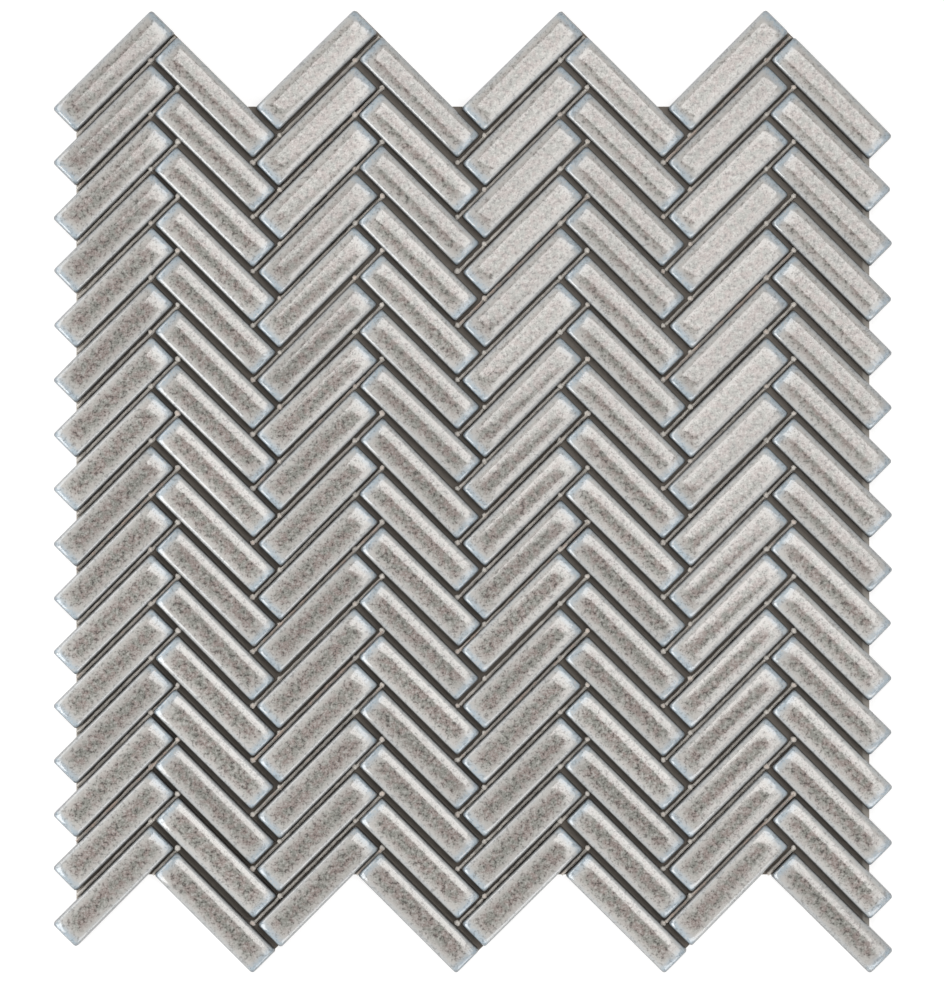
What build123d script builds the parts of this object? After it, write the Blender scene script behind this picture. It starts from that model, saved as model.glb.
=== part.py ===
from build123d import *
import math
import os

# A sheet of glazed porcelain bars laid in herringbone on a backing mesh, face up.
# X runs across the sheet, Y up it, and Z out of the glazed face.
# The origin is the middle of the sheet's box, on the back of the mesh.
# Sizes are in millimetres.

# The tile: a pressed bar with a crowned face, rolled edges and soft corners
TILE_LENGTH = 44.0
TILE_WIDTH = 10.5
TILE_THICKNESS = 6.0
CROWN_RISE = 0.5
END_FALL = 0.3
END_FALL_LENGTH = 7.0
FACE_EDGE_RADIUS = 1.2
CORNER_RADIUS = 0.9
SIDE_DRAFT_DEGREES = 1.5

# Each quarter round of a tile is made of a few flats, because the sheet has so many of them
FLATS_PER_ROUND = 2

# The sheet: columns of tiles that lean right and left by turns
JOINT = 1.6
COLUMN_PAIRS = 4
TILES_PER_COLUMN = 16
LEAN_DEGREES = 45.0

# The backing mesh, trimmed under the outer tiles and straight across the mouths of the joints
BACKING_THICKNESS = 0.4
TILE_OVERHANG = 0.8

MODULE_LENGTH = TILE_LENGTH + JOINT
MODULE_WIDTH = TILE_WIDTH + JOINT
HALF_JOINT = JOINT / 2
TRIM = HALF_JOINT + TILE_OVERHANG

# The tiles' own frame: P along the tiles that lean right, Q along those that lean left
LEAN = math.radians(LEAN_DEGREES)
P_AXIS = (math.cos(LEAN), math.sin(LEAN))
Q_AXIS = (-math.sin(LEAN), math.cos(LEAN))


def in_sheet(p, q):
    """Turns a point of the tiles' own frame into one of the sheet, before it is centred."""
    x = p * P_AXIS[0] + q * Q_AXIS[0]
    y = p * P_AXIS[1] + q * Q_AXIS[1]
    return x, y


def step_right(pair):
    """How far a pair of columns stands from the first pair."""
    return pair * MODULE_LENGTH, -pair * MODULE_LENGTH


def step_down(row):
    """How far a tile stands from the top tile of its column."""
    return -row * MODULE_WIDTH, -row * MODULE_WIDTH


def sheet_centre():
    """The middle of the box round all the tiles."""
    last = step_right(COLUMN_PAIRS - 1)
    lowest = step_down(TILES_PER_COLUMN - 1)
    left, _ = in_sheet(0, TILE_WIDTH)
    _, top = in_sheet(TILE_LENGTH, TILE_WIDTH)
    right, _ = in_sheet(TILE_LENGTH + last[0], -JOINT - TILE_LENGTH + last[1])
    _, bottom = in_sheet(TILE_LENGTH - TILE_WIDTH + lowest[0], -JOINT - TILE_LENGTH + lowest[1])
    return (left + right) / 2, (top + bottom) / 2


def quarter_round(centre, radius, start_degrees):
    """Points on a quarter of a circle, anticlockwise, one flat apart."""
    angles = [math.radians(start_degrees + 90 * i / FLATS_PER_ROUND) for i in range(FLATS_PER_ROUND + 1)]
    return [(centre[0] + radius * math.cos(a), centre[1] + radius * math.sin(a)) for a in angles]


def pressed_profile(base, fall, fall_length):
    """A tile's outline seen from one side: drafted walls, rolled edges, and a face that falls towards them."""
    wall = TILE_THICKNESS - fall - FACE_EDGE_RADIUS
    half_top = base / 2 - wall * math.tan(math.radians(SIDE_DRAFT_DEGREES))
    rolled_edge = quarter_round((half_top - FACE_EDGE_RADIUS, wall), FACE_EDGE_RADIUS, 0)
    level = half_top - fall_length
    halfway = (half_top - FACE_EDGE_RADIUS + level) / 2
    right = [(base / 2, 0)] + rolled_edge + [(halfway, TILE_THICKNESS - fall / 4)]
    left = [(-x, z) for x, z in reversed(right)]
    if level > 0:
        face = [(level, TILE_THICKNESS), (-level, TILE_THICKNESS)]
    else:
        face = [(0, TILE_THICKNESS)]
    return make_face(Polyline(*right, *face, *left, close=True))


def plan():
    """A tile's outline from above."""
    inner_x = TILE_LENGTH / 2 - CORNER_RADIUS
    inner_y = TILE_WIDTH / 2 - CORNER_RADIUS
    corners = []
    for i, (side_x, side_y) in enumerate([(1, 1), (-1, 1), (-1, -1), (1, -1)]):
        corners += quarter_round((side_x * inner_x, side_y * inner_y), CORNER_RADIUS, 90 * i)
    return make_face(Polyline(*corners, close=True))


def tile():
    """One bar along X, its back on Z = 0: what its end view, its side view and its plan have in common."""
    end_view = Plane.YZ * pressed_profile(TILE_WIDTH, CROWN_RISE, TILE_WIDTH / 2)
    side_view = Plane.XZ * pressed_profile(TILE_LENGTH, END_FALL, END_FALL_LENGTH)
    along = extrude(end_view, TILE_LENGTH / 2, both=True)
    across = extrude(side_view, TILE_WIDTH / 2, both=True)
    return (along & across & extrude(plan(), TILE_THICKNESS)).solid()


def column(bar, pair, leans_right):
    """The tiles of one column, each moved to its place on the backing."""
    centre_x, centre_y = sheet_centre()
    if leans_right:
        middle = (TILE_LENGTH / 2, TILE_WIDTH / 2)
        turn = LEAN_DEGREES
    else:
        middle = (TILE_LENGTH - TILE_WIDTH / 2, -JOINT - TILE_LENGTH / 2)
        turn = LEAN_DEGREES - 90
    tiles = []
    for row in range(TILES_PER_COLUMN):
        right, down = step_right(pair), step_down(row)
        x, y = in_sheet(middle[0] + right[0] + down[0], middle[1] + right[1] + down[1])
        tiles.append(bar.moved(Location((x - centre_x, y - centre_y, BACKING_THICKNESS), (0, 0, turn))))
    return Compound(children=tiles)


def outline_through_joints():
    """The sheet's outline half a joint outside its tiles, clockwise from the bottom of the left edge."""
    last_row = TILES_PER_COLUMN - 1
    near, far = -HALF_JOINT, TILE_LENGTH + HALF_JOINT
    upper = TILE_WIDTH + HALF_JOINT
    inner = TILE_LENGTH - TILE_WIDTH - HALF_JOINT
    foot = -MODULE_LENGTH - HALF_JOINT
    centre_x, centre_y = sheet_centre()
    corners = []

    def add(p, q, pair, row):
        right, down = step_right(pair), step_down(row)
        x, y = in_sheet(p + right[0] + down[0], q + right[1] + down[1])
        corners.append((x - centre_x, y - centre_y))

    for row in range(last_row, -1, -1):
        add(near, near, 0, row)
        add(near, upper, 0, row)
    for pair in range(COLUMN_PAIRS):
        if pair > 0:
            add(near, upper, pair, 0)
        add(far, upper, pair, 0)
    for row in range(TILES_PER_COLUMN):
        add(far, foot, COLUMN_PAIRS - 1, row)
        add(inner, foot, COLUMN_PAIRS - 1, row)
    for pair in range(COLUMN_PAIRS - 1, -1, -1):
        add(inner, near, pair, last_row)
        if pair > 0:
            add(inner, foot, pair - 1, last_row)
    return corners


def inner_corners(corners):
    """The corners of a clockwise outline where it turns left, which are the feet of its notches."""
    feet = []
    for before, here, after in zip(corners[-1:] + corners[:-1], corners, corners[1:] + corners[:1]):
        arriving = (here[0] - before[0], here[1] - before[1])
        leaving = (after[0] - here[0], after[1] - here[1])
        if arriving[0] * leaving[1] - arriving[1] * leaving[0] > 0:
            feet.append(here)
    return feet


def backing_mesh():
    """The mesh that carries the tiles, as a thin sheet. Its edge lies under them and closes each joint's mouth."""
    corners = outline_through_joints()
    trimmed = offset(make_face(Polyline(*corners, close=True)), amount=-TRIM, kind=Kind.INTERSECTION)
    reach = 1.01 * TRIM * math.sqrt(2)
    feet = inner_corners(corners)
    mouths = [v for v in trimmed.vertices() if any(math.dist((v.X, v.Y), foot) < reach for foot in feet)]
    return extrude(chamfer(mouths, 2 * TRIM), BACKING_THICKNESS).solid()


os.makedirs("parts", exist_ok=True)
bar = tile()
for pair in range(COLUMN_PAIRS):
    export_step(column(bar, pair, True), f"parts/tile_column_{2 * pair + 1}.step")
    export_step(column(bar, pair, False), f"parts/tile_column_{2 * pair + 2}.step")
export_step(backing_mesh(), "parts/backing_mesh.step")
print("tile", round(bar.volume, 1), "cubic mm,", len(bar.faces()), "faces, box", bar.bounding_box().size)
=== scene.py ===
# %% [markdown]
# # A herringbone mosaic sheet
#
# The object is a sheet of small glazed porcelain bars, glued face up in a herringbone on a glass-fibre
# mesh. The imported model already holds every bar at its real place, with few flats on its rounds. This
# lesson lays a finely rounded, glazed bar over each of them, adds the glue and the woven mesh, and lights
# the sheet as a studio would. Lengths are in metres, and MM turns millimetres into them.

import math
import random

import bmesh
import bpy
import numpy as np
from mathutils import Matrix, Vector


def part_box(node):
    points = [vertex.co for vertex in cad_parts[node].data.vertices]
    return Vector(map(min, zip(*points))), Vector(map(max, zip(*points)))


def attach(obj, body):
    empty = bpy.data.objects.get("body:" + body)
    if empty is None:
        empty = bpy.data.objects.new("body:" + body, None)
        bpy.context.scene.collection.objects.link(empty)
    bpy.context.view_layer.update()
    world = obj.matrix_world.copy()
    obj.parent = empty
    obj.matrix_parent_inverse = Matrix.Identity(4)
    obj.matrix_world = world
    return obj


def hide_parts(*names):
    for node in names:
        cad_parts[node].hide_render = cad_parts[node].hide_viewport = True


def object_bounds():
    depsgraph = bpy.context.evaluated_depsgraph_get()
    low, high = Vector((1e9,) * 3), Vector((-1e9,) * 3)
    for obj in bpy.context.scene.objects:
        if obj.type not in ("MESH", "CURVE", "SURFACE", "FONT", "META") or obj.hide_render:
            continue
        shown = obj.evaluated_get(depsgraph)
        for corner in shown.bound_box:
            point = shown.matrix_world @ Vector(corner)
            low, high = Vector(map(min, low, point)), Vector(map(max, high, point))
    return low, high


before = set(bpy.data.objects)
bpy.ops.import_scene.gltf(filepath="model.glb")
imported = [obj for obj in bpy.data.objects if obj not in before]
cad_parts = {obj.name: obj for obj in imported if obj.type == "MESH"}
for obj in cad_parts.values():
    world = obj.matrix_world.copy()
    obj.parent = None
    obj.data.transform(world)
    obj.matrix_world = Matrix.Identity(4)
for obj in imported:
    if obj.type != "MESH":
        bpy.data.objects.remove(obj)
cad_low, cad_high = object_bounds()
MM = 0.001
COLUMNS = sorted(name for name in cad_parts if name.startswith("tile_column_"))
BACKING = "backing_mesh"
BODY = "root"
print("columns:", len(COLUMNS), "sheet in mm:", [round(v / MM, 1) for v in cad_high - cad_low])

# %% [markdown]
# ## Where the bars lie
#
# Each column node holds sixteen bars that don't touch, so its mesh falls apart into sixteen islands. The
# middle of an island is the middle of a bar. The longer of its two diagonal reaches says how the bar leans.
# Reading this from the frame keeps every bar on the spot where the model has it.

# %% Find the bars of a column
SAME_POINT = 0.001 * MM


def islands(mesh):
    """The points of each loose part of a mesh."""
    work = bmesh.new()
    work.from_mesh(mesh)
    bmesh.ops.remove_doubles(work, verts=work.verts, dist=SAME_POINT)
    unseen = set(work.verts)
    found = []
    while unseen:
        waiting = [unseen.pop()]
        island = []
        while waiting:
            vertex = waiting.pop()
            island.append(vertex.co[:])
            for edge in vertex.link_edges:
                other = edge.other_vert(vertex)
                if other in unseen:
                    unseen.remove(other)
                    waiting.append(other)
        found.append(np.array(island))
    work.free()
    return found


def bars_in(node):
    """The middle, back height and lean of each bar in a column, from the top of the sheet to the bottom."""
    bars = []
    for points in islands(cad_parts[node].data):
        low, high = points.min(0), points.max(0)
        rising = np.ptp(points @ np.array([1.0, 1.0, 0.0]))
        falling = np.ptp(points @ np.array([1.0, -1.0, 0.0]))
        lean = math.radians(45 if rising > falling else -45)
        bars.append(((low + high) / 2, low[2], lean))
    return sorted(bars, key=lambda bar: -bar[0][1])


bars_by_column = {node: bars_in(node) for node in COLUMNS}
print("bars:", sum(len(bars) for bars in bars_by_column.values()))

# %% [markdown]
# ## The pressed bar
#
# A bar is dry-pressed porcelain. Its walls lean in a little so that it leaves the die, and its face swells
# like a pillow: nearly level along the middle, then falling faster and faster towards the sides and the
# ends, until the last of it rolls over the edge. A bevel would give a flat top with round edges, so the
# face is worked out instead: its slope grows with a power of the distance from the middle. The mirror image
# of a lamp lies where the slope is right for it, so this curve decides where the bright bands of the glaze
# come.

# %% Sizes of a bar
TILE_LENGTH = 44.0 * MM
TILE_WIDTH = 10.5 * MM
TILE_THICKNESS = 6.0 * MM
CORNER_RADIUS = 0.9 * MM
FACE_CORNER_RADIUS = 1.6 * MM
DRAFT = 0.11 * MM
ROLL_RADIUS = 0.9 * MM
SWELL_POWER = 1.5
SIDE_REACH = TILE_WIDTH / 2 - DRAFT
SIDE_SLOPE = 0.49
END_REACH = 6.5 * MM
END_SLOPE = 0.36
print("bar in mm:", [round(size / MM, 1) for size in (TILE_LENGTH, TILE_WIDTH, TILE_THICKNESS)])

# %% Shape of the face
ROLL_STEPS = 8
FACE_STEPS = 10
MIDDLE_STRIP = 0.15 * MM


def fall_of_swell(distance, reach, slope):
    """How far the face has fallen this far in from the wall, where slope is its steepness at the wall."""
    share = max(0.0, 1 - distance / reach)
    return slope * reach / (SWELL_POWER + 1) * share ** (SWELL_POWER + 1)


def face_height(x, y, inset):
    """Height of the face over a point, which lies on the ring that is drawn in this far from the wall."""
    fall = fall_of_swell(TILE_WIDTH / 2 - DRAFT - abs(y), SIDE_REACH, SIDE_SLOPE)
    fall += fall_of_swell(TILE_LENGTH / 2 - DRAFT - abs(x), END_REACH, END_SLOPE)
    short = max(0.0, ROLL_RADIUS - inset)
    roll = ROLL_RADIUS - math.sqrt(ROLL_RADIUS**2 - short**2)
    return TILE_THICKNESS - fall - roll


roll_insets = ROLL_RADIUS * (1 - np.cos(np.linspace(0, math.pi / 2, ROLL_STEPS + 1)))
face_shares = np.arange(1, FACE_STEPS + 1) / FACE_STEPS
face_insets = ROLL_RADIUS + (SIDE_REACH - MIDDLE_STRIP - ROLL_RADIUS) * face_shares
insets = np.concatenate([roll_insets, face_insets])
print("rings:", len(insets), "wall height in mm:", round(face_height(0, SIDE_REACH, 0) / MM, 2))

# %% [markdown]
# The bar is built from rings, one inside the other, from the foot of the wall to a narrow strip along the
# middle. Every ring has the same number of points, so neighbouring rings join with four-sided faces and
# nothing else. The points bunch up at the corners and towards the ends, where the face bends most.

# %% Build one bar
CORNER_STEPS = 6
SIDE_STEPS = 16
END_STEPS = 4
ROUNDEST_CORNER = 0.98


def ring_outline(half_length, half_width, radius):
    """Points round a rounded rectangle, anticlockwise from the start of its upper right corner."""
    corners = []
    for index, (side_x, side_y) in enumerate([(1, 1), (-1, 1), (-1, -1), (1, -1)]):
        centre_x = side_x * (half_length - radius)
        centre_y = side_y * (half_width - radius)
        angles = [math.pi / 2 * (index + step / CORNER_STEPS) for step in range(CORNER_STEPS + 1)]
        corners.append([(centre_x + radius * math.cos(a), centre_y + radius * math.sin(a)) for a in angles])
    outline = []
    for index, corner in enumerate(corners):
        outline += corner
        start, end = Vector(corner[-1]), Vector(corners[(index + 1) % 4][0])
        steps = END_STEPS if index % 2 else SIDE_STEPS
        shares = [(1 - math.cos(math.pi * step / steps)) / 2 for step in range(1, steps)]
        outline += [start.lerp(end, share)[:] for share in shares]
    return outline


def pressed_bar():
    """The points and faces of a bar that lies along X with its back on Z = 0."""
    points = [(x, y, 0.0) for x, y in ring_outline(TILE_LENGTH / 2, TILE_WIDTH / 2, CORNER_RADIUS)]
    around = len(points)
    for inset in insets:
        half_width = TILE_WIDTH / 2 - DRAFT - inset
        rolled = min(1.0, inset / ROLL_RADIUS)
        wanted_radius = CORNER_RADIUS + (FACE_CORNER_RADIUS - CORNER_RADIUS) * rolled
        radius = min(wanted_radius, ROUNDEST_CORNER * half_width)
        outline = ring_outline(TILE_LENGTH / 2 - DRAFT - inset, half_width, radius)
        points += [(x, y, face_height(x, y, inset)) for x, y in outline]
    faces = [tuple(reversed(range(around)))]
    for start in range(0, len(points) - around, around):
        for i in range(around):
            j = (i + 1) % around
            faces.append((start + i, start + j, start + around + j, start + around + i))
    faces.append(tuple(range(len(points) - around, len(points))))
    return np.array(points), faces


bar_points, bar_faces = pressed_bar()
print("points in a bar:", len(bar_points), "faces:", len(bar_faces))

# %% [markdown]
# ## Shader sums in plain Python
#
# A finish is easiest to read as arithmetic, such as `1 - mask`. One small class wraps what a shader node
# gives and turns each operator into a Math node. Every other node comes from one method, which takes the
# node's type, its settings and what goes into its sockets.

# %% A wrapper for shader values
class Value:
    """What a shader node gives, ready for sums."""

    def __init__(self, finish, socket):
        self.finish = finish
        self.socket = socket

    def sum_with(self, operation, left, right):
        """The Math node of an operator."""
        return self.finish.node("ShaderNodeMath", {"operation": operation}, {0: left, 1: right})

    def __add__(self, other):
        return self.sum_with("ADD", self, other)

    def __radd__(self, other):
        return self.sum_with("ADD", other, self)

    def __sub__(self, other):
        return self.sum_with("SUBTRACT", self, other)

    def __rsub__(self, other):
        return self.sum_with("SUBTRACT", other, self)

    def __mul__(self, other):
        return self.sum_with("MULTIPLY", self, other)

    def __rmul__(self, other):
        return self.sum_with("MULTIPLY", other, self)


# %% A material built node by node
NODES_IN_ROW = 12
NODE_ROOM = (180, -220)


class Finish:
    """A material that is built node by node."""

    def __init__(self, name):
        self.material = bpy.data.materials.new(name)
        self.material.use_nodes = True
        self.tree = self.material.node_tree
        self.tree.nodes.clear()
        self.count = 0

    def node(self, kind, settings, sockets, output=0):
        """Adds a node, sets its settings and then its sockets, and gives back one of its outputs."""
        made = self.tree.nodes.new(kind)
        row, column = divmod(self.count, NODES_IN_ROW)
        made.location = (NODE_ROOM[0] * column, NODE_ROOM[1] * row)
        self.count += 1
        for name, value in settings.items():
            setattr(made, name, value)
        for name, value in sockets.items():
            if isinstance(value, Value):
                self.tree.links.new(value.socket, made.inputs[name])
            else:
                made.inputs[name].default_value = value
        return Value(self, made.outputs[output])

    def attribute(self, name):
        """A number that the mesh keeps at each of its points."""
        return self.node("ShaderNodeAttribute", {"attribute_name": name}, {}, "Fac")

    def place(self):
        """Where the point is on the sheet, in metres."""
        return self.node("ShaderNodeTexCoord", {}, {}, "Object")

    def coordinate(self, axis):
        """How far along one axis of the sheet the point is, in metres."""
        return self.node("ShaderNodeSeparateXYZ", {}, {"Vector": self.place()}, axis)

    def noise(self, size, detail, roughness=0.5):
        """Soft random patches of about a given size."""
        sockets = {"Vector": self.place(), "Scale": 1 / size, "Detail": detail, "Roughness": roughness}
        return self.node("ShaderNodeTexNoise", {}, sockets)

    def ease(self, value, low, high):
        """0 below low and 1 above high, with a smooth step between."""
        settings = {"interpolation_type": "SMOOTHSTEP"}
        return self.node("ShaderNodeMapRange", settings, {"Value": value, "From Min": low, "From Max": high})

    def blend(self, share, first, second):
        """The first colour where share is 0 and the second where it is 1."""
        return self.node("ShaderNodeMix", {"data_type": "RGBA"}, {0: share, 6: first, 7: second}, 2)

    def brighten(self, colour, value):
        """The colour, darker where the value is below 1 and lighter where it is above."""
        return self.node("ShaderNodeHueSaturation", {}, {"Value": value, "Color": colour})

    def bump(self, height, strength, depth):
        """Small dents and bulges that the light sees and the mesh doesn't have."""
        return self.node("ShaderNodeBump", {}, {"Strength": strength, "Distance": depth, "Height": height})

    def surface(self, sockets):
        """Ends the material in a Principled surface."""
        shader = self.node("ShaderNodeBsdfPrincipled", {}, sockets)
        output = self.tree.nodes.new("ShaderNodeOutputMaterial")
        self.tree.links.new(shader.socket, output.inputs["Surface"])
        return self.material


# %% Colours as they look on screen
def shade(red, green, blue):
    """A colour as it looks on screen, from 0 to 255, turned into the linear light that shaders work in."""
    channels = [c / 255 for c in (red, green, blue)]
    return tuple(c / 12.92 if c <= 0.04045 else ((c + 0.055) / 1.055) ** 2.4 for c in channels) + (1.0,)


print("middle grey in linear light:", round(shade(128, 128, 128)[0], 3))

# %% [markdown]
# ## The glaze
#
# The glaze is a glossy grey one that "breaks". Where it lies thick, in the middle of the face, dark specks
# crowd into a grey that is warm in some spots and greenish in others. Where it ran thin it is pale, and at
# the ends and along the sides it turns faintly blue. Right at the rim, where the face rolls down into the
# joints, a painted shade makes it dark. A picture of the glaze would repeat and blur, so the colour is
# worked out from how far in from the side, the end and the rim a point lies, in millimetres. Noise of four
# sizes mottles it and makes the borders ragged. Low on the wall the glaze stops in an uneven line, and the
# dull bare body shows, painted dark as the shade down in the joints.

# %% Colours and sizes of the glaze
GLAZE_CORE = shade(170, 156, 150)
GLAZE_CORE_GREEN = shade(159, 159, 151)
GLAZE_RIM = shade(220, 217, 212)
GLAZE_END = shade(197, 212, 222)
# Painted shade: the dark colour of the rolled rim, where the face turns down into the joints.
PAINTED_RIM_SHADE = shade(48, 54, 60)
SPECK = shade(72, 65, 62)
# Painted shade: the bare body low on the wall is given a dark colour, as the shade down in the joints.
SHADED_BARE_BODY = shade(74, 69, 64)
PATCH_SIZE = 2.6 * MM
TINT_SIZE = 2.8 * MM
CLOUD_SIZE = 1.25 * MM
GRAIN_SIZE = 0.58 * MM
CORE_FROM_SIDE = (0.9, 4.4)
CORE_FROM_END = (1.2, 6.5)
BLUE_FROM_SIDE = (0.8, 1.9)
BLUE_FROM_END = (0.8, 3.6)
RIM_SHADE_REACH = (-0.05, 0.75)
print("specks in mm:", round(GRAIN_SIZE / MM, 2), "core of the face in mm:", CORE_FROM_SIDE)


# %% Colour of the face
def face_colour(finish):
    """Specks in a grey core, pale towards the sides and bluish at the very edge and the ends."""
    from_side = finish.attribute("from_side")
    from_end = finish.attribute("from_end")
    patches = finish.noise(PATCH_SIZE, detail=1.0)
    clouds = finish.noise(CLOUD_SIZE, detail=1.0)
    tints = finish.noise(TINT_SIZE, detail=1.0)
    grains = finish.noise(GRAIN_SIZE, detail=1.0, roughness=0.7)
    ragged = (patches - 0.5) * 2.2 + (grains - 0.5) * 2.0
    core_across = finish.ease(from_side + ragged * 0.5, *CORE_FROM_SIDE)
    core = core_across * finish.ease(from_end + ragged * 0.9, *CORE_FROM_END)
    off_side = finish.ease(from_side, *BLUE_FROM_SIDE)
    blue = 1 - finish.ease(from_end + ragged * 0.5, *BLUE_FROM_END) * (0.7 + 0.3 * off_side)
    pale = finish.blend(blue * (0.5 + patches), GLAZE_RIM, GLAZE_END)
    grey = finish.blend(finish.ease(tints, 0.35, 0.65), GLAZE_CORE, GLAZE_CORE_GREEN)
    ground = finish.blend(core, pale, grey)
    mottle = (grains - 0.5) * 3.3 + (clouds - 0.5) * 3.6
    speckled = finish.blend(finish.ease(mottle, 0.0, 1.1) * (0.35 + 0.45 * core), ground, SPECK)
    return finish.blend(finish.ease(mottle * -1, 0.0, 1.1) * 0.65, speckled, GLAZE_RIM)


# %% Glaze finish
DARKEST_TONE = 0.93
TONE_RANGE = 0.13
GLAZE_LINE = (3.2 * MM, 3.5 * MM)
DRIP_SIZE = 4.0 * MM
DRIP_REACH = 1.6 * MM
WAVE_SIZE = 5.0 * MM
SKIN_SIZE = 0.9 * MM
WAVE_DEPTH = 0.06 * MM
BODY_ROUGHNESS = 0.62
GLAZE_ROUGHNESS = 0.10


def glaze_finish():
    """Glossy on the face and dull on the bare foot of the wall."""
    finish = Finish("grey_breaking_glaze")
    # Painted shade: the rolled rim and the wall above the glaze line are darkened as the shade in the
    # joints.
    off_rim = finish.ease(finish.attribute("from_edge"), *RIM_SHADE_REACH)
    rim_shaded = finish.blend(off_rim, PAINTED_RIM_SHADE, face_colour(finish))
    toned = finish.brighten(rim_shaded, DARKEST_TONE + finish.attribute("tone") * TONE_RANGE)
    drip = finish.noise(DRIP_SIZE, detail=1.0)
    glazed = finish.ease(finish.coordinate("Z") + (drip - 0.5) * DRIP_REACH, *GLAZE_LINE)
    relief = finish.noise(WAVE_SIZE, detail=0.0) * 0.8 + finish.noise(SKIN_SIZE, detail=1.0) * 0.2
    return finish.surface(
        {
            # Below the glaze line the bare body takes a colour painted dark as shade.
            "Base Color": finish.blend(glazed, SHADED_BARE_BODY, toned),
            "Roughness": BODY_ROUGHNESS - (BODY_ROUGHNESS - GLAZE_ROUGHNESS) * glazed,
            "IOR": 1.8,
            "Specular IOR Level": 0.75,
            "Normal": finish.bump(relief, 0.6, WAVE_DEPTH),
        }
    )


glaze = glaze_finish()
print("glaze nodes:", len(glaze.node_tree.nodes))

# %% [markdown]
# ## Sixteen bars to a column
#
# Real bars are never quite alike. Each one here is turned and shifted by a hair, its face leans a little,
# and it gets a tone of its own. The bars that lean left all dip a little towards the lower left. The whole
# lattice has also crept: the upper bars sit low, and the middle ones a little to the left. The backs stay
# seated, and no bar leaves the box of the model: where a shift would carry a tip outside, the bar is moved
# back in.

# %% Place one bar
SHIFT = 0.18 * MM
DIP = 0.024
TURN = math.radians(0.25)
LEAN_ALONG = 0.006
LEAN_ACROSS = 0.012
CREEP_LEFT = 0.6 * MM
CREEP_DOWN = 0.75 * MM
dice = random.Random(7)


def creep(x, y):
    """How far the lattice has moved at a place on the sheet."""
    aside = (x - cad_low.x) / (cad_high.x - cad_low.x) * 2 - 1
    height = (y - cad_low.y) / (cad_high.y - cad_low.y)
    return -CREEP_LEFT * (1 - aside**2), -CREEP_DOWN * height


def placed_bar(middle, back, lean):
    """The points of one bar on its spot, with the small errors of a real one."""
    points = bar_points.copy()
    along, across = dice.uniform(-LEAN_ALONG, LEAN_ALONG), dice.uniform(-LEAN_ACROSS, LEAN_ACROSS)
    if lean < 0:
        across -= DIP
    tilt = points[:, 0] / (TILE_LENGTH / 2) * along + points[:, 1] / (TILE_WIDTH / 2) * across
    points[:, 2] *= 1 - abs(along) - abs(across) - tilt
    angle = lean + dice.gauss(0, TURN)
    turn = np.array([[math.cos(angle), -math.sin(angle)], [math.sin(angle), math.cos(angle)]])
    points[:, :2] = points[:, :2] @ turn.T
    left, down = creep(middle[0], middle[1])
    points += [middle[0] + left + dice.gauss(0, SHIFT), middle[1] + down + dice.gauss(0, SHIFT), back]
    for axis in (0, 1):
        points[:, axis] += max(0.0, cad_low[axis] - points[:, axis].min())
        points[:, axis] -= max(0.0, points[:, axis].max() - cad_high[axis])
    return points


most_creep = creep((cad_low.x + cad_high.x) / 2, cad_high.y)
print("creep at the middle of the top in mm:", [round(way / MM, 2) for way in most_creep])

# %% [markdown]
# The glaze reads four numbers at each point of the mesh: how far in from the side, the end and the rim the
# point lies, and the tone of its bar. They are kept as attributes, so one finish serves all 128 bars.

# %% Lay the glazed bars
BAR_SHARP_ANGLE = math.radians(50)
points_in_ring = len(bar_points) // (len(insets) + 1)
bar_distances = {
    "from_side": (TILE_WIDTH / 2 - abs(bar_points[:, 1])) / MM,
    "from_end": (TILE_LENGTH / 2 - abs(bar_points[:, 0])) / MM,
    "from_edge": np.repeat(np.concatenate([[0.0], insets + DRAFT]) / MM, points_in_ring),
}


def glazed_column(node):
    """All the bars of a column as one mesh, with what the glaze needs to know kept at each point."""
    points, faces, tones = [], [], []
    for number, bar in enumerate(bars_by_column[node]):
        points.append(placed_bar(*bar))
        faces += [tuple(number * len(bar_points) + i for i in face) for face in bar_faces]
        tones += [dice.random()] * len(bar_points)
    mesh = bpy.data.meshes.new("glazed_" + node)
    mesh.from_pydata(np.concatenate(points).tolist(), [], faces)
    kept = {name: np.tile(distances, len(points)) for name, distances in bar_distances.items()}
    kept["tone"] = np.array(tones)
    for name, values in kept.items():
        mesh.attributes.new(name, "FLOAT", "POINT").data.foreach_set("value", values.astype(np.float32))
    mesh.shade_smooth()
    mesh.set_sharp_from_angle(angle=BAR_SHARP_ANGLE)
    mesh.materials.append(glaze)
    piece = bpy.data.objects.new("glazed_" + node, mesh)
    bpy.context.scene.collection.objects.link(piece)
    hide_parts(node)
    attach(piece, BODY)
    return piece


for node in COLUMNS:
    piece = glazed_column(node)
    print(piece.name, "faces:", len(piece.data.polygons))

# %% [markdown]
# ## The mesh behind the bars
#
# The bars are held by an open glass-fibre mesh and a film of glue. The model has both as one thin plate.
# Here the film is a copy of that plate, thinned to its upper part, and the strands are flat ribbons that
# pass over and under each other on its underside. Seen from above, down in the narrow joints, the top of the
# film is painted dark as shade. On the back, and where it shows in the notches at the left and the right, it
# is pale.

# %% Glue and strand finishes
# Painted shade: the dark colour of the film's top down in the joints; past the left and right rim it stays
# pale.
PAINTED_JOINT_SHADE = shade(136, 127, 117)
GLUE_BACK = shade(196, 190, 180)
STRAND = shade(232, 228, 222)
JOINT_SHADE_ABOVE = 0.28 * MM
JOINT_SHADE_FADE = 0.05 * MM
UNSHADED_PAST = 122.2 * MM
UNSHADED_FADE = 0.8 * MM
GRAIN_DEPTH = 0.05 * MM
FILM_GRAIN = 1.6 * MM


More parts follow.
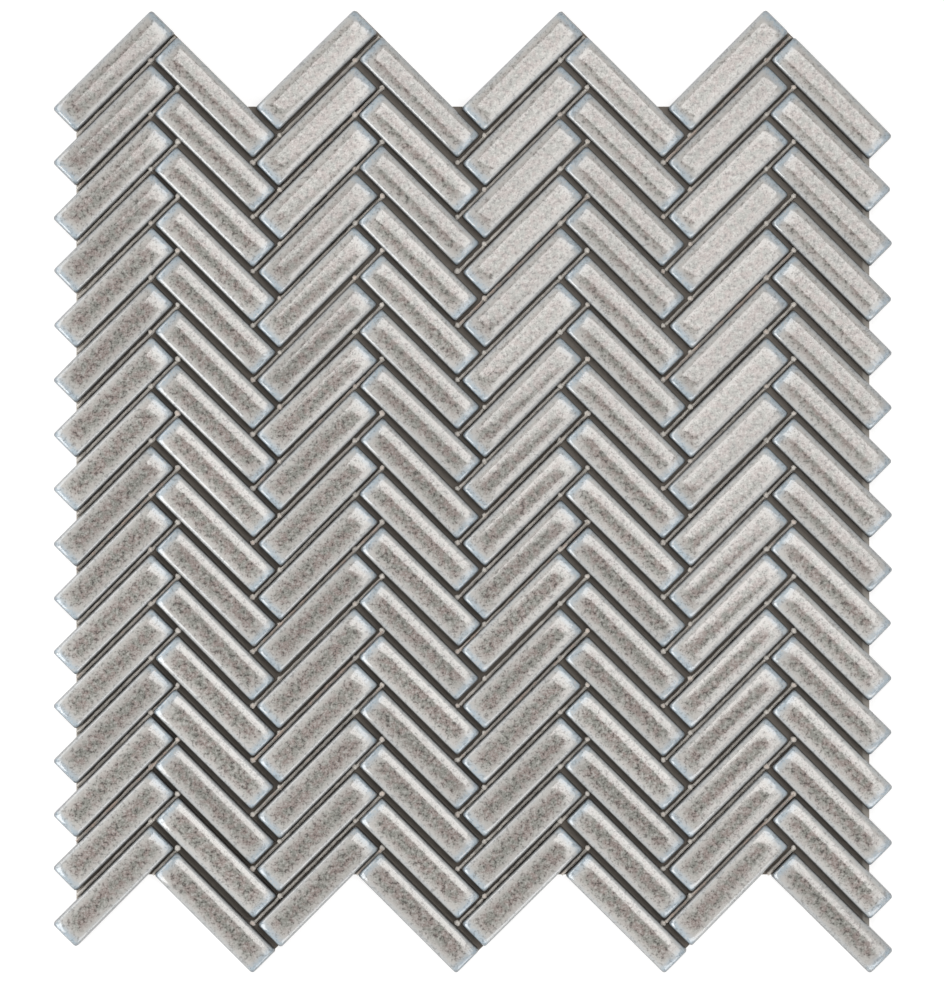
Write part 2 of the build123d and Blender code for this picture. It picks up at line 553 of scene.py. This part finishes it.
def painted_shade_finish(name, pale, grain_size):
    """Pale on the back and at the left and right rim, and painted dark with shade on its top, down in the
    joints.
    """
    finish = Finish(name)
    grain = finish.noise(grain_size, detail=2.0)
    above = finish.ease(finish.coordinate("Z"), JOINT_SHADE_ABOVE - JOINT_SHADE_FADE, JOINT_SHADE_ABOVE + JOINT_SHADE_FADE)
    aside = finish.coordinate("X")
    inside = 1 - finish.ease(aside * aside, UNSHADED_PAST**2, (UNSHADED_PAST + UNSHADED_FADE) ** 2)
    mixed = finish.blend(above * inside, pale, PAINTED_JOINT_SHADE)
    colour = finish.brighten(mixed, 0.85 + grain * 0.3)
    relief = finish.bump(grain, 0.4, GRAIN_DEPTH)
    return finish.surface({"Base Color": colour, "Roughness": 0.5, "Normal": relief})


film_finish = painted_shade_finish("glue_film_painted_shade", GLUE_BACK, FILM_GRAIN)
print("film nodes:", len(film_finish.node_tree.nodes))


# %% Glue film
FILM_LOW = 0.16 * MM
FILM_HIGH = 0.39 * MM


def glue_film():
    """The plate of the model, thinned to a film."""
    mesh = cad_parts[BACKING].data.copy()
    mesh.name = "glue_film"
    low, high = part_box(BACKING)
    middle = (low.z + high.z) / 2
    for vertex in mesh.vertices:
        vertex.co.z = FILM_LOW if vertex.co.z < middle else FILM_HIGH
    mesh.materials.clear()
    mesh.materials.append(film_finish)
    piece = bpy.data.objects.new("glue_film", mesh)
    bpy.context.scene.collection.objects.link(piece)
    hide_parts(BACKING)
    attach(piece, BODY)
    return piece


film = glue_film()
print("film faces:", len(film.data.polygons))

# %% [markdown]
# Glue and strands end where the backing ends. Its outline comes from the plate's own lower edges: each of
# them joins the level underside to an upright wall.

# %% Outline of the backing
HAIR = 0.01 * MM
UPRIGHT = 0.5


def outline_edges():
    """The edges round the underside of the plate, as pairs of points."""
    work = bmesh.new()
    work.from_mesh(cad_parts[BACKING].data)
    bmesh.ops.remove_doubles(work, verts=work.verts, dist=SAME_POINT)
    pairs = []
    for edge in work.edges:
        normals = [face.normal for face in edge.link_faces]
        on_floor = max(vertex.co.z for vertex in edge.verts) < cad_low.z + HAIR
        if on_floor and len(normals) == 2 and min(abs(normal.z) for normal in normals) < UPRIGHT:
            pairs.append(tuple(vertex.co.copy() for vertex in edge.verts))
    work.free()
    return pairs


backing_edges = outline_edges()
print("outline edges:", len(backing_edges))

# %% [markdown]
# A line across the outline enters and leaves in pairs, so sorting where it crosses the edges gives its
# stretches inside the backing. A point is on the backing if one of the stretches of the line through it
# holds it.

# %% Where a line lies on the backing
def spans(axis, place):
    """Where a line along one axis, at a place on the other, runs inside the backing."""
    other = 1 - axis
    crossed = []
    for start, end in backing_edges:
        if (start[other] - place) * (end[other] - place) < 0:
            share = (place - start[other]) / (end[other] - start[other])
            crossed.append(start[axis] + (end[axis] - start[axis]) * share)
    crossed.sort()
    return list(zip(crossed[::2], crossed[1::2]))


def on_backing(x, y):
    """Whether a place on the sheet has backing under it."""
    return any(start < x < end for start, end in spans(0, y))


middle_row = spans(0, HAIR)[0]
print("middle row of the backing in mm:", [round(place / MM, 1) for place in middle_row])

# %% [markdown]
# ## Glue that shows
#
# The glue was spread along one diagonal. Between the bars that lean right it stands up in a beige bead with
# a dark gap on either side of it. Where the joints meet it was squeezed up between the corners of the bars,
# as pale pinkish dots. Beads and dots are lumps made of rings, so one function joins their rings, and the
# finish turns from beige to pinkish with height, which only the dots reach in full.

# %% Finish of the glue lumps
GLUE_BEIGE = shade(237, 231, 222)
GLUE_PINK = shade(224, 204, 190)
PINK_ABOVE = (3.6 * MM, 4.4 * MM)
CLOT_SIZE = 0.7 * MM
CLOT_DEPTH = 0.1 * MM


def glue_lump_finish():
    """Clotted glue, beige low down and pinkish where it was squeezed up high."""
    finish = Finish("squeezed_glue")
    clots = finish.noise(CLOT_SIZE, detail=2.0)
    mixed = finish.blend(finish.ease(finish.coordinate("Z"), *PINK_ABOVE), GLUE_BEIGE, GLUE_PINK)
    colour = finish.brighten(mixed, 0.65 + clots * 0.6)
    relief = finish.bump(clots, 0.5, CLOT_DEPTH)
    return finish.surface({"Base Color": colour, "Roughness": 0.45, "Normal": relief})


lump_finish = glue_lump_finish()
print("lump nodes:", len(lump_finish.node_tree.nodes))


# %% Join the rings of a lump
def join_rings(faces, first, around, rings_in_lump):
    """Faces between the rings of a lump, and one over each end."""
    for base in range(first, first + around * (rings_in_lump - 1), around):
        for i in range(around):
            j = (i + 1) % around
            faces.append((base + i, base + j, base + around + j, base + around + i))
    faces.append(tuple(reversed(range(first, first + around))))
    last = first + around * (rings_in_lump - 1)
    faces.append(tuple(range(last, last + around)))


# %% [markdown]
# The corners of all bars, moved out by half a joint, coincide where the joints meet. So the corners that
# share a spot, to the nearest millimetre, show where a dot of glue stands.

# %% Find the crossings
HALF_JOINT = 0.8 * MM


def crossings():
    """The places on the backing where the corners of two bars meet at the side of a third."""
    corners = {}
    for bars in bars_by_column.values():
        for middle, _, lean in bars:
            for end in (-1, 1):
                for side in (-1, 1):
                    along = end * (TILE_LENGTH / 2 + HALF_JOINT)
                    across = side * (TILE_WIDTH / 2 + HALF_JOINT)
                    x = middle[0] + along * math.cos(lean) - across * math.sin(lean)
                    y = middle[1] + along * math.sin(lean) + across * math.cos(lean)
                    corners.setdefault((round(x / MM), round(y / MM)), []).append((x, y))
    return [places[0] for places in corners.values() if len(places) > 1 and on_backing(*places[0])]


dot_spots = crossings()
print("dots:", len(dot_spots))

# %% Dots of glue at the crossings
LUMP_FOOT = 0.3 * MM
DOT_RADIUS = 1.15 * MM
DOT_HEIGHT = 4.1 * MM
DOT_STEPS = 12
DOT_PROFILE = [(1.0, 0.0), (1.0, 0.8), (0.9, 0.93), (0.5, 1.0)]


def add_dot(points, faces, x, y):
    """A ragged blob, with a profile of shares of its radius and of its height."""
    left, down = creep(x, y)
    radius, height = DOT_RADIUS * dice.uniform(0.8, 1.0), DOT_HEIGHT * dice.uniform(0.85, 1.0)
    first = len(points)
    ragged = [radius * dice.uniform(0.7, 1.0) for _ in range(DOT_STEPS)]
    for wide, high in DOT_PROFILE:
        for step in range(DOT_STEPS):
            angle = 2 * math.pi * step / DOT_STEPS
            out = ragged[step] * wide
            z = LUMP_FOOT + (height - LUMP_FOOT) * high
            points.append((x + left + out * math.cos(angle), y + down + out * math.sin(angle), z))
    join_rings(faces, first, DOT_STEPS, len(DOT_PROFILE))


# %% [markdown]
# A bead follows the joint below each bar that leans right. It leans on the bar below, so its section isn't
# symmetric, and its height and width change along it, as in a hand-spread glue. It stops where the backing
# stops.

# %% Where a bead runs
BAR_STEP = TILE_WIDTH + 2 * HALF_JOINT
BEAD_STEPS = 40
SHORTEST_RUN = 3


def runs_on_backing(foot, along):
    """The stretches of the joint below a bar that lie on the backing, as lists of places along it."""
    runs = [[]]
    for reach in np.linspace(-TILE_LENGTH / 2 - BAR_STEP, TILE_LENGTH / 2 + HALF_JOINT, BEAD_STEPS):
        if on_backing(*(foot + along * reach)):
            runs[-1].append(reach)
        elif runs[-1]:
            runs.append([])
    return [run for run in runs if len(run) >= SHORTEST_RUN]


# %% Beads of glue between the bars
BEAD_WIDTH = 1.2 * MM
BEAD_HEIGHT = 4.8 * MM
BEAD_ASIDE = -0.28 * MM
BEAD_WANDER = 0.08 * MM
BEAD_SECTION = [(-1, 0.0), (1, 0.0), (0.95, 0.9), (0.3, 1.0), (-0.8, 0.85)]


def add_beads(points, faces, middle, lean):
    """The bead along the joint below a bar, in as many pieces as the outline cuts it into."""
    along = np.array([math.cos(lean), math.sin(lean)])
    across = np.array([-math.sin(lean), math.cos(lean)])
    foot = middle - across * BAR_STEP / 2 + creep(middle[0], middle[1])
    for run in runs_on_backing(foot, along):
        first = len(points)
        squeezed = BEAD_HEIGHT * dice.uniform(0.6, 1.0)
        for reach in run:
            width = BEAD_WIDTH * dice.uniform(0.8, 1.0) / 2
            top = squeezed * dice.uniform(0.75, 1.0)
            aside = BEAD_ASIDE + dice.uniform(-BEAD_WANDER, BEAD_WANDER)
            for side, high in BEAD_SECTION:
                x, y = foot + along * reach + across * (aside + side * width)
                points.append((x, y, LUMP_FOOT + (top - LUMP_FOOT) * high))
        join_rings(faces, first, len(BEAD_SECTION), len(run))


# %% Lay the glue
LUMP_SHARP_ANGLE = math.radians(70)


def glue_lumps():
    """All the dots and beads as one piece."""
    points, faces = [], []
    for x, y in dot_spots:
        add_dot(points, faces, x, y)
    above = np.array([0.0, BAR_STEP * math.sqrt(2)])
    for bars in bars_by_column.values():
        top, _, lean = bars[0]
        if lean > 0:
            for middle in [top[:2] + above] + [bar[0][:2] for bar in bars]:
                add_beads(points, faces, middle, lean)
    mesh = bpy.data.meshes.new("glue_lumps")
    mesh.from_pydata(points, [], faces)
    mesh.shade_smooth()
    mesh.set_sharp_from_angle(angle=LUMP_SHARP_ANGLE)
    mesh.materials.append(lump_finish)
    piece = bpy.data.objects.new("glue_lumps", mesh)
    bpy.context.scene.collection.objects.link(piece)
    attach(piece, BODY)
    return piece


lumps = glue_lumps()
print("faces of lumps:", len(lumps.data.polygons))

# %% [markdown]
# ## The strands
#
# A strand of glass fibre is a flat bundle. It runs from one edge of the backing to the other, and rises
# over every second strand that it crosses. A ribbon with a lens for its section, bent like a wave whose
# crests lie on the crossings, shows this with few faces. Strands that the outline cuts very short are left
# out.

# %% One strand
PITCH = 5.0 * MM
STRAND_WIDTH = 1.0 * MM
STRAND_THICKNESS = 0.12 * MM
STRAND_HEIGHT = 0.135 * MM
WEAVE_RISE = 0.057 * MM
STRAND_SECTION = ((-1, 0), (0, -0.5), (1, 0), (0, 0.5))


def add_strand(points, faces, axis, place, start, end, number):
    """A flat ribbon from start to end, which rises over every other strand that it crosses."""
    first_half = math.ceil(start / PITCH * 2)
    last_half = int(end // (PITCH / 2))
    stations = [start] + [half * PITCH / 2 for half in range(first_half, last_half + 1)]
    stations = [station for station in stations if station < end] + [end]
    first = len(points)
    for station in stations:
        wave = math.cos(math.pi * (station / PITCH + number + axis))
        height = STRAND_HEIGHT + WEAVE_RISE * wave
        for across, up in STRAND_SECTION:
            point = [0.0, 0.0, height + up * STRAND_THICKNESS]
            point[axis] = station
            point[1 - axis] = place + across * STRAND_WIDTH / 2
            points.append(point)
    around = len(STRAND_SECTION)
    for step in range(len(stations) - 1):
        base = first + around * step
        for i in range(around):
            j = (i + 1) % around
            quad = (base + i, base + j, base + around + j, base + around + i)
            faces.append(quad if axis == 1 else quad[::-1])
    caps = [tuple(first + i for i in range(around)), tuple(len(points) - 1 - i for i in range(around))]
    faces += caps if axis == 0 else [cap[::-1] for cap in caps]


# %% Weave the strands
SHORTEST_STRAND = 2.0 * MM
STRAND_GRAIN = 0.3 * MM


def strand_net():
    """All the strands both ways, as one piece."""
    points, faces = [], []
    for axis in (0, 1):
        low, high = cad_low[1 - axis], cad_high[1 - axis]
        for number in range(math.ceil(low / PITCH), int(high // PITCH) + 1):
            place = number * PITCH
            for start, end in spans(axis, place + HAIR):
                if end - start > SHORTEST_STRAND:
                    start += STRAND_WIDTH / 2
                    end -= STRAND_WIDTH / 2
                    add_strand(points, faces, axis, place, start, end, number)
    mesh = bpy.data.meshes.new("strand_net")
    mesh.from_pydata(points, [], faces)
    mesh.shade_smooth()
    mesh.materials.append(painted_shade_finish("glass_fibre_strand", STRAND, STRAND_GRAIN))
    piece = bpy.data.objects.new("strand_net", mesh)
    bpy.context.scene.collection.objects.link(piece)
    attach(piece, BODY)
    return piece


net = strand_net()
print("strand faces:", len(net.data.polygons))

# %% [markdown]
# ## The studio
#
# The floor is plain and nearly white, and glows a little so that it stays white under the soft light.

# %% Floor
FLOOR_SIZE = 6.0
FLOOR_GLOW = 0.75
FLOOR_GRAIN = 40 * MM


def pale_floor():
    """A plain sheet just below the object."""
    finish = Finish("pale_floor")
    grain = finish.noise(FLOOR_GRAIN, detail=2.0)
    colour = finish.blend(grain, shade(188, 188, 188), shade(192, 192, 192))
    glow = {"Emission Color": (1, 1, 1, 1), "Emission Strength": FLOOR_GLOW}
    material = finish.surface({"Base Color": colour, "Roughness": 0.9, "Specular IOR Level": 0.0, **glow})
    bpy.ops.mesh.primitive_plane_add(size=FLOOR_SIZE, location=(0, 0, cad_low.z - HAIR))
    floor = bpy.context.object
    floor.name = "floor"
    floor.data.materials.append(material)
    return floor


floor = pale_floor()
print("floor:", floor.name)

# %% [markdown]
# One large soft box hangs high on the upper right and faces straight down. Its mirror image lies along the
# faces, and the image's edge draws the border between the bright and the dark band of each bar. Softer
# boxes low on the left, far on the left and near on the right put a pale gleam on the rolled edges, a weak
# one high on the right lights the right ends, and the room itself is dim and white.

# %% Lights
def soft_box(name, place, size, level, turn=None, tint=(1, 1, 1)):
    """A rectangular light that faces the sheet's middle, or straight down if it has a turn.

    Level is how bright it alone makes white paper in the middle of the sheet.
    """
    data = bpy.data.lights.new(name, "AREA")
    data.shape = "RECTANGLE"
    data.size, data.size_y = size
    data.color = tint
    lamp = bpy.data.objects.new(name, data)
    lamp.location = place
    distance = lamp.location.length
    cosine = lamp.location.z / distance
    if turn is None:
        lamp.rotation_euler = (-lamp.location).to_track_quat("-Z", "Y").to_euler()
        data.energy = level * (math.pi * distance) ** 2 / cosine
    else:
        lamp.rotation_euler = (0, 0, math.radians(turn))
        data.energy = level * (math.pi * distance) ** 2 / cosine**2
    bpy.context.scene.collection.objects.link(lamp)
    return lamp


soft_box("overhead_box", (0.130, 0.219, 0.8), (0.434, 0.63), 0.27, turn=56, tint=(1, 0.985, 0.97))
soft_box("low_left_box", (-0.64, -0.285, 0.363), (0.4, 0.5), 0.155)
soft_box("far_left_box", (-0.66, 0.24, 0.37), (0.5, 0.4), 0.08)
soft_box("near_right_box", (0.27, -0.64, 0.37), (0.5, 0.4), 0.10)
soft_box("high_right_box", (0.46, -0.21, 0.8), (0.42, 0.42), 0.06, turn=-45)

# %% Light of the room
ROOM_LIGHT = 0.22

world = bpy.data.worlds.new("studio")
world.use_nodes = True
background = world.node_tree.nodes["Background"]
background.inputs["Color"].default_value = (1, 1, 1, 1)
background.inputs["Strength"].default_value = ROOM_LIGHT
bpy.context.scene.world = world
bpy.context.scene.view_settings.view_transform = "Standard"

# %% [markdown]
# ## The camera
#
# The sheet is seen straight from above through a long lens, with nearly no perspective. How wide the sheet
# is in the picture, in pixels, gives the lens. The camera stands a pixel off the middle, which puts the
# sheet where it belongs in the picture.

# %% Camera
PICTURE_WIDTH = 944
SHEET_WIDTH_IN_PICTURE = 840
CAMERA_HEIGHT = 2.2
SENSOR_WIDTH = 36.0
PICTURE_DROP = 1.0
PICTURE_LEFT = 0.9

metres_per_pixel = (cad_high.x - cad_low.x) / SHEET_WIDTH_IN_PICTURE
camera_data = bpy.data.cameras.new("camera")
camera_data.sensor_fit = "HORIZONTAL"
camera_data.sensor_width = SENSOR_WIDTH
camera_data.lens = SENSOR_WIDTH * (CAMERA_HEIGHT - cad_high.z) / (PICTURE_WIDTH * metres_per_pixel)
camera = bpy.data.objects.new("camera", camera_data)
camera.location = (-PICTURE_LEFT * metres_per_pixel, -PICTURE_DROP * metres_per_pixel, CAMERA_HEIGHT)
bpy.context.scene.collection.objects.link(camera)
bpy.context.scene.camera = camera
print("lens:", round(camera_data.lens, 1), "mm per pixel:", round(metres_per_pixel / MM, 4))
